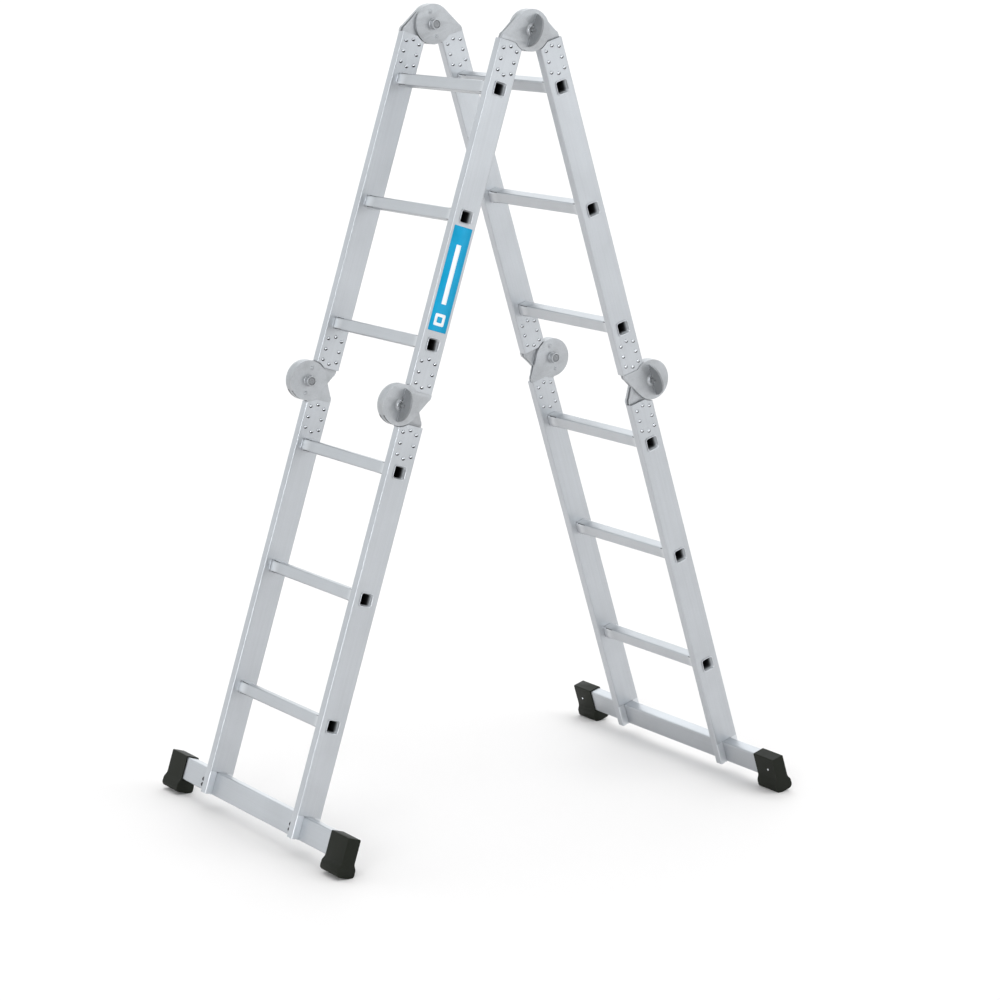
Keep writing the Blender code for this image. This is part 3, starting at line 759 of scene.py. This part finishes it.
def rivet_mesh(places, height, lean):
    """Snap-head rivets on a rail's wide face, at (out, up) places, with height along t. Painted shade
    darkens a crescent under each crown, and the skirt round it except on the lit side; lean gives which
    side is shaded."""
    way = 1 if height > 0 else -1
    profile = [(0, 0.0033), (0.0011, 0.0032), (0.0022, 0.0028), (0.0031, 0.0021), (0.0038, 0.0012),
               (0.0042, 0.0003), (0.0042, -0.0004), (0.0030, -0.0008), (0, -0.0008)]
    crescent, skirt, unshaded_skirt = 0.0002, 0.0036, 0.0016
    parts = []
    for out, up in places:
        head = softened(turned(profile, 32), 0, sharp=70)
        for facet in head.polygons:
            out_from_axis, up_from_axis = facet.center.y, facet.center.z
            low = 0.72 * -up_from_axis + 0.42 * out_from_axis * lean
            on_skirt = math.hypot(out_from_axis, up_from_axis) > skirt and low > -unshaded_skirt
            # Faces on the shaded side take the near-black second material: painted shade.
            facet.material_index = int(low > crescent or on_skirt)
        if way < 0:
            head = mirrored(head)
        parts.append(moved(head, x=height, y=out, z=up))
    return joined(*parts)


def rivet_places(pivot, b_sign):
    """Eight rivets round the tail of a hinge plate, in two rows of three with one at each end."""
    middle_up = pivot[1] + b_sign * 0.078
    row_out, row_step, end_step = 0.0175, 0.024, 0.031
    ring = [(way * row_out, step * row_step) for way in (1, -1) for step in (1, 0, -1)]
    ring += [(0.0, end_step), (0.0, -end_step)]
    return [(OFFSET + out, middle_up + up) for out, up in ring]


def foot_mesh():
    """Moulded foot: a sleeve round the bar's end, a waist, and a round sole cut flat for the floor."""
    half = BAR_DEPTH / 2 + FOOT_WALL
    bottom = -SOLE_BOTTOM
    corner = bottom + SOLE_RADIUS
    waist = -BAR_TOP - 0.0535
    shoulder_radius = 0.0025
    side = arc((half - shoulder_radius, -BAR_TOP + FOOT_WALL - shoulder_radius), shoulder_radius, 90, 0, 5)
    side += [(half, waist + 0.006), (half + 0.0004, waist + 0.002), (half + 0.0016, waist - 0.0015)]
    side += [(SOLE_HALF - 0.0018, waist - 0.0065), (SOLE_HALF - 0.0005, waist - 0.0100)]
    side += arc((SOLE_HALF - SOLE_RADIUS, corner), SOLE_RADIUS, 0, -90, 10)
    outline = side + [(-out, up) for out, up in reversed(side)]
    outline = shifted(outline, OFFSET, 0)
    mesh = slab([outline], HALF_SPAN - FOOT_LENGTH, HALF_SPAN)
    mesh = softened(mesh, 0.0022, 3, angle=60, sharp=60)
    pocket = brick((FOOT_LENGTH, BAR_DEPTH + 2 * GAP, BAR_HEIGHT + 2 * GAP),
                   (HALF_SPAN - FOOT_END - FOOT_LENGTH / 2, OFFSET, -BAR_TOP - BAR_HEIGHT / 2))
    tools = [pocket]
    grooves, groove = 5, (0.0022, 0.060, 0.003)
    for i in range(grooves):
        groove_at = HALF_SPAN - FOOT_LENGTH * (i + 1) / (grooves + 1)
        tools.append(brick(groove, (groove_at, OFFSET, bottom + 0.0006)))
    mesh = cut(mesh, tools)
    work = bmesh.new()
    work.from_mesh(mesh)
    floor_normal = Vector((0, -math.sin(TILT), -math.cos(TILT)))
    floor_point = Vector((0, 0, -(PIVOT_HEIGHT - SOLE_LIFT) / math.cos(TILT)))
    geometry = work.verts[:] + work.edges[:] + work.faces[:]
    split = bmesh.ops.bisect_plane(work, geom=geometry, dist=MERGED, plane_co=floor_point,
                                   plane_no=floor_normal, clear_outer=True)
    rim = [part for part in split["geom_cut"] if isinstance(part, bmesh.types.BMEdge)]
    bmesh.ops.holes_fill(work, edges=rim, sides=0)
    bmesh.ops.recalc_face_normals(work, faces=work.faces)
    work.to_mesh(mesh)
    work.free()
    return softened(mesh, 0, sharp=40)


def bar_mesh():
    """The stabiliser bar, an open box tube whose ends are inside the feet."""
    end = HALF_SPAN - FOOT_END - GAP
    outside = rounded(BAR_DEPTH, BAR_HEIGHT, 0.0030, 5)
    inside = rounded(BAR_DEPTH - 2 * RAIL_WALL, BAR_HEIGHT - 2 * RAIL_WALL, TUBE_CORNER, 5)
    loops = []
    for t, outline in ((-end, outside), (end, outside), (end, inside), (-end, inside)):
        loops.append([(t, out + OFFSET, up - BAR_TOP - BAR_HEIGHT / 2) for out, up in outline])
    return softened(loft(loops), 0, sharp=40)


def screw_mesh():
    """Two pan-head screws with recessed drives, and the nut strip behind them, facing +Y."""
    strip = (0.012, 0.003, 0.026)
    parts = [softened(brick(strip, (0, -RAIL_WALL - GAP - strip[1] / 2, 0)), 0.0003, 1)]
    for way in (1, -1):
        profile = [(0, 0.0006), (0.0021, 0.0006), (0.0024, 0.0030), (0.0033, 0.0030), (0.0043, 0.0023),
                   (0.0050, 0.0010), (0.0050, 0.0002), (0.0024, 0.0002), (0.0024, -0.0040), (0, -0.0040)]
        screw = softened(turned(profile, 28), 0, sharp=45)
        screw.transform(Matrix.Rotation(math.pi / 2, 4, "Z"))
        parts.append(moved(screw, z=way * SCREW_SPREAD))
    return joined(*parts)


def foot_rivet_mesh():
    """A dome rivet in the inner side of each foot, facing -out."""
    profile = [(0, 0.0014), (0.0012, 0.0013), (0.0023, 0.0008), (0.0029, 0.0), (0.0027, -0.0006),
               (0, -0.0006)]
    head = softened(turned(profile, 20), 0, sharp=70)
    head.transform(Matrix.Rotation(-math.pi / 2, 4, "Z"))
    return head


# ---------------------------------------------------------------- the ladder

def handed(mesh):
    """A shape and its mirror image, for each way along t."""
    return {1: mesh, -1: mirrored(mesh)}


RAILS = {
    "upper": rail_mesh(RAIL_END, SPAN - RAIL_END, PITCH / 2, [TOP, MID], False),
    "lower": rail_mesh(SPAN + RAIL_END, BAR_TOP + BAR_HEIGHT, SPAN + PITCH / 2, [MID], True)}
RUNG_MESH = rung_mesh()
BAR_MESH = bar_mesh()
FEET = handed(foot_mesh())
SCREWS = screw_mesh()
FOOT_RIVET = foot_rivet_mesh()
AXLES, SPINDLES, GRIPS = handed(axle_mesh()), handed(spindle_mesh()), handed(grip_mesh())
FORKS = {}


def fork(outermost, a_sign, b_sign, sign):
    """A fork's mesh, made the first time that a hinge needs it."""
    key = (outermost, a_sign, b_sign)
    if key not in FORKS:
        FORKS[key] = handed(fork_mesh(*key))
    return FORKS[key][sign]


def hinge(name, leg, pivot, a_sign, outer, inner):
    """One pair of hinges. outer and inner are (body, leg, b_sign) of the two sections they join."""
    for side in SIDES:
        label = f"{name}_{side}"
        for part, (body, part_leg, b_sign), outermost in (("outer_fork", outer, True),
                                                          ("inner_fork", inner, False)):
            sign = t_sign(part_leg, side)
            mesh = fork(outermost, a_sign, b_sign, sign)
            matrix = at(part_leg, sign * HALF_WIDTH, *pivot)
            node = f"{label}_{part}"
            # The second zinc is painted shade on the covers' downward-facing edges.
            piece(node + "_plates", mesh, (ZINC, ZINC_PAINTED_SHADE), "zinc_plated_steel", body, matrix, node)
        sign = t_sign(leg, side)
        matrix = at(leg, sign * HALF_WIDTH, *pivot)
        piece(label + "_axle_barrel", AXLES[sign], (ZINC, STEEL), "zinc_plated_steel",
              outer[0], matrix, label + "_axle")
        piece(label + "_spindle_clevis", SPINDLES[sign], CAST, "bright_steel",
              label + "_spindle", matrix, label + "_lock_spindle")
        # The steel on the grip is the painted highlight along its straight edge.
        piece(label + "_half_moon", GRIPS[sign], (CAST, STEEL), "cast_grip",
              label + "_grip", matrix, label + "_release_grip")


def section_rivets(leg, level, side, ends):
    """The rivet heads on both wide faces of a rail, at each hinged end."""
    sign = t_sign(leg, side)
    for end_name, pivot, b_sign in ends:
        places = rivet_places(pivot, b_sign)
        for face_name, t, way in (("outer", HALF_WIDTH, 1), ("inner", HALF_WIDTH - RAIL_THICKNESS, -1)):
            mesh = moved(rivet_mesh(places, way * RIVET_LIFT, LEGS[leg]), x=t)
            if sign < 0:
                mesh = mirrored(mesh)
            name = f"{leg}_{level}_rivets_{end_name}_{side}_{face_name}"
            piece(name, mesh, (RIVET_METAL, RIVET_PAINTED_SHADE), "bright_steel", f"{leg}_{level}", at(leg))


def section(leg, level, first_rung, ends):
    """The rails, rivets and rungs of one of the four sections."""
    body = f"{leg}_{level}"
    for side in SIDES:
        node = f"{body}_rail_{side}"
        matrix = at(leg, t_sign(leg, side) * (HALF_WIDTH - RAIL_THICKNESS / 2))
        piece(node + "_extrusion", RAILS[level], (RAIL_METAL, MILLED_METAL), "extruded_aluminium",
              body, matrix, node)
        section_rivets(leg, level, side, ends)
    for i, up in enumerate(rung_levels(first_rung)):
        node = f"{body}_rung_{i + 1}"
        piece(node + "_tube", RUNG_MESH, (RUNG_METAL, RIM_METAL, MOUTH_METAL), "rung_aluminium",
              body, at(leg, 0, OFFSET, up), node)


def stabiliser(leg):
    """The bar across the foot of a leg, with its feet and the screws that hold it."""
    body = f"{leg}_lower"
    piece(f"{leg}_stabiliser_bar_tube", BAR_MESH, BAR_METAL, "extruded_aluminium", body, at(leg),
          f"{leg}_stabiliser_bar")
    rivet_in, rivet_down = 0.026, 0.028
    for side in SIDES:
        sign = t_sign(leg, side)
        piece(f"{leg}_foot_{side}_moulding", FEET[sign], PLASTIC, "black_plastic", body, at(leg),
              f"{leg}_foot_{side}")
        matrix = at(leg, sign * (HALF_SPAN - rivet_in), OFFSET - BAR_DEPTH / 2 - FOOT_WALL,
                    -BAR_TOP - rivet_down)
        piece(f"{leg}_foot_{side}_rivet", FOOT_RIVET, RIVET_METAL, "bright_steel", body, matrix)
    for number, t in enumerate((-SCREW_INBOARD, SCREW_OUTBOARD)):
        matrix = at(leg, t, OFFSET + BAR_DEPTH / 2, -BAR_TOP - SCREW_LEVEL)
        piece(f"{leg}_stabiliser_screw_pair_{number + 1}", SCREWS, DARK_STEEL, "bright_steel", body,
              matrix, f"{leg}_stabiliser_screws_{number + 1}")


for leg in LEGS:
    section(leg, "upper", PITCH / 2, (("high", TOP, -1), ("low", MID, 1)))
    section(leg, "lower", SPAN + PITCH / 2, (("high", MID, -1),))
    stabiliser(leg)
    hinge(f"{leg}_hinge", leg, MID, -1, (f"{leg}_upper", leg, 1), (f"{leg}_lower", leg, -1))

hinge("top_hinge", "front", TOP, 1, ("front_upper", "front", -1), ("rear_upper", "rear", -1))


def plain_label():
    """A label on the outer face of the near front rail, between the middle and lowest upper rungs."""
    middle_up, width, length = -0.556, 0.0465, 0.229
    square_up, square_size, square_hole = -0.089, 0.026, 0.013
    stripe_up, stripe_width, stripe_length = 0.010, 0.012, 0.130
    film = [rounded(width, length, 0.0015, 3)]
    square = [shifted(rounded(square_size, square_size, 0.003, 4), 0, square_up),
              shifted(rounded(square_hole, square_hole, 0.0015, 4), 0, square_up)]
    stripe = [shifted(rounded(stripe_width, stripe_length, 0.0012, 3), 0, stripe_up)]
    for name, material, outlines, low, high in (
            ("label_film", BLUE_FILM, film, 0.00002, 0.00022),
            ("label_square", WHITE_FILM, square, 0.00018, 0.00030),
            ("label_stripe", WHITE_FILM, stripe, 0.00018, 0.00030)):
        placed = [shifted(outline, OFFSET, middle_up) for outline in outlines]
        mesh = softened(slab(placed, HALF_WIDTH + low, HALF_WIDTH + high), 0.00004, 1)
        if t_sign("front", "right") < 0:
            mesh = mirrored(mesh)
        piece(name, mesh, material, "extruded_aluminium", "front_upper", at("front"))


plain_label()


# ---------------------------------------------------------------- studio

def floor_material():
    """Matt pale paint."""
    s = Shader("studio_floor", 0.0)
    clouds = s.noise(0.6, detail=2)
    tone = s.ramp(clouds, (0.2, (0.835, 0.817, 0.808)), (0.8, (0.850, 0.832, 0.823)))
    s.shader.inputs["Specular IOR Level"].default_value = 0.1
    return s.finish(tone, s.spread(clouds, 0.75, 0.85), s.bump(clouds, 0.01, 0.0001))


def studio_floor():
    """A wide round floor, just under the feet."""
    radius, drop = 90, 0.0002
    mesh = bpy.data.meshes.new("studio_floor")
    work = bmesh.new()
    bmesh.ops.create_circle(work, cap_ends=True, segments=64, radius=radius)
    work.to_mesh(mesh)
    work.free()
    mesh.materials.append(floor_material())
    floor = bpy.data.objects.new("studio_floor", mesh)
    bpy.context.scene.collection.objects.link(floor)
    floor.location = (0, 0, -drop)


def camera():
    """Looks down at the standing ladder from its near side. The distance gives the perspective, and the
    lens is as long as the ladder needs to fill the frame."""
    azimuth, elevation, roll = math.radians(56.652), math.radians(11.268), math.radians(0.198)
    lens_per_sensor = 2.9638
    forward = Vector((-math.sin(azimuth) * math.cos(elevation), math.cos(azimuth) * math.cos(elevation),
                      -math.sin(elevation)))
    data = bpy.data.cameras.new("camera")
    data.sensor_width = 36
    data.lens = data.sensor_width * lens_per_sensor
    data.clip_end = 500
    eye = bpy.data.objects.new("camera", data)
    bpy.context.scene.collection.objects.link(eye)
    eye.location = (5.4922, -3.554, 1.980)
    turn = forward.to_track_quat("-Z", "Y").to_matrix().to_4x4() @ Matrix.Rotation(roll, 4, "Z")
    eye.rotation_euler = turn.to_euler()
    bpy.context.scene.camera = eye


# Soft panels round the room: the direction each lies in, the cosines from that direction where it starts
# and where it is full, and its strength. The first is high up at the back, and the last and brightest
# is behind the camera, to its left.
ROOM_GLOW = 0.37
ROOM_COLOUR = (0.97, 0.995, 1.01, 1)
PANELS = [((-0.25, 0.62, 0.75), 0.45, 0.90, 0.36),
          ((-0.80, -0.57, 0.18), 0.74, 0.97, 0.80),
          ((-0.82, 0.42, 0.30), 0.72, 0.96, 1.15),
          ((0.80, 0.54, 0.24), 0.76, 0.97, 1.50),
          ((0.57, -0.79, 0.24), 0.93, 0.985, 5.5)]


def studio_world():
    """A pale room. Each panel adds its own light to the glow that the walls give off."""
    world = bpy.data.worlds.new("studio")
    world.use_nodes = True
    tree = world.node_tree
    place = tree.nodes.new("ShaderNodeTexCoord").outputs["Generated"]
    total = None
    for direction, start, full, strength in PANELS:
        dot = tree.nodes.new("ShaderNodeVectorMath")
        dot.operation = "DOT_PRODUCT"
        dot.inputs[1].default_value = Vector(direction).normalized()
        tree.links.new(place, dot.inputs[0])
        fade = tree.nodes.new("ShaderNodeMapRange")
        fade.interpolation_type = "SMOOTHSTEP"
        fade.inputs["From Min"].default_value = start
        fade.inputs["From Max"].default_value = full
        fade.inputs["To Max"].default_value = strength
        tree.links.new(dot.outputs["Value"], fade.inputs["Value"])
        add = tree.nodes.new("ShaderNodeMath")
        add.inputs[1].default_value = ROOM_GLOW
        tree.links.new(fade.outputs["Result"], add.inputs[0])
        if total:
            tree.links.new(total, add.inputs[1])
        total = add.outputs[0]
    background = tree.nodes["Background"]
    background.inputs["Color"].default_value = ROOM_COLOUR
    tree.links.new(total, background.inputs["Strength"])
    bpy.context.scene.world = world


def key_light():
    """A broad lamp overhead and a little behind, for soft shadows under the bars."""
    lamp_width, lamp_direction = 70, Vector((0.10, -0.16, -0.98))
    light = bpy.data.lights.new("key", "SUN")
    light.energy = 1.25
    light.angle = math.radians(lamp_width)
    lamp = bpy.data.objects.new("key", light)
    bpy.context.scene.collection.objects.link(lamp)
    lamp.rotation_euler = lamp_direction.to_track_quat("-Z", "Y").to_euler()


studio_floor()
studio_world()
key_light()
bpy.context.scene.view_settings.view_transform = "Standard"
camera()
